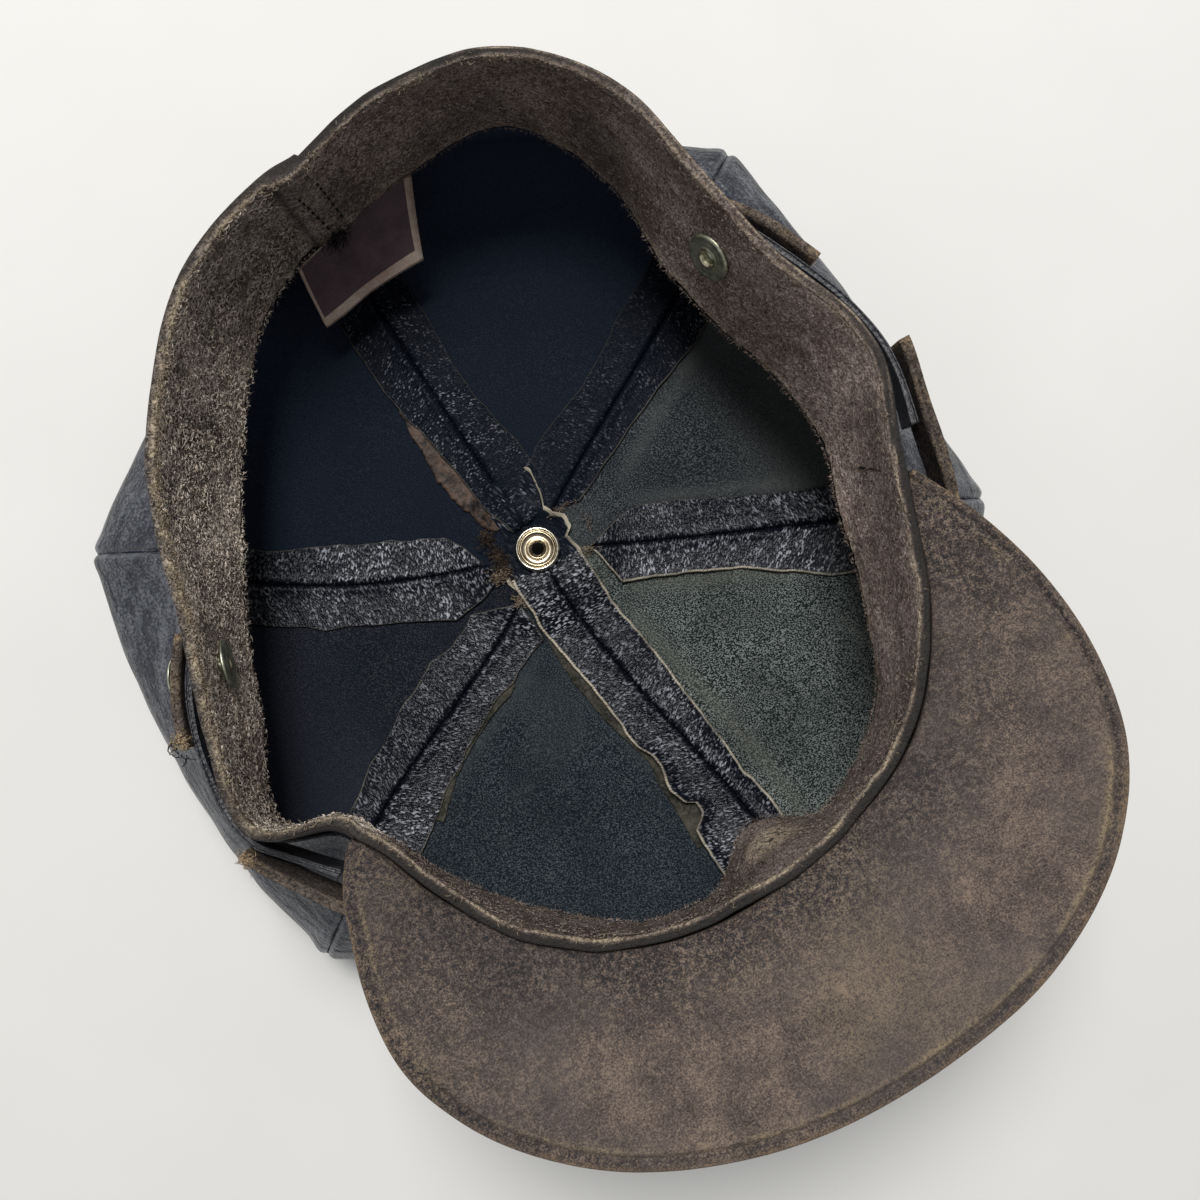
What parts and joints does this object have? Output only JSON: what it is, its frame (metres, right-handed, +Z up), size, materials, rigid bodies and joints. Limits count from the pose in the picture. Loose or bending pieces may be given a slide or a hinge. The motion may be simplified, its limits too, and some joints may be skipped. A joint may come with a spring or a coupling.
{
  "type": "leather biker cap",
  "caption": "Worn leather biker cap with a six-panel crown, thick brown band, peak and side straps, lying upside down on its crown.",
  "frame": {"origin": "middle of the cap's box, on the surface that its crown lies on", "axes": "+Z up and out of the opening, -Y towards the peak at the front, +X towards the side of the cap that is on the right of a viewer who looks at its back from behind"},
  "size_m": [0.234, 0.2708, 0.1164],
  "materials": {
    "brown_leather": "worn flesh side of thick brown leather, matt and fuzzy",
    "black_leather": "soft black leather with a fine pebbled grain, slightly glossy",
    "label_cloth": "smooth dark maroon label with a tan border",
    "snap_steel": "nickel-plated snap with a worn gold middle",
    "rivet_brass": "tarnished green-grey brass"
  },
  "bodies": {
    "root": {"crown_panel_front_right": "black_leather", "crown_panel_right": "black_leather", "crown_panel_back_right": "black_leather", "crown_panel_back_left": "black_leather", "crown_panel_left": "black_leather", "crown_panel_front_left": "black_leather", "crown_button": "black_leather", "snap_ring": "snap_steel", "band": "brown_leather", "peak": "brown_leather", "label": "label_cloth", "front_strap": "brown_leather", "side_strip_right": "black_leather", "side_strip_left": "black_leather", "tab_right": "brown_leather", "tab_left": "brown_leather", "rivet_right": "rivet_brass", "rivet_left": "rivet_brass"}
  },
  "joints": []
}
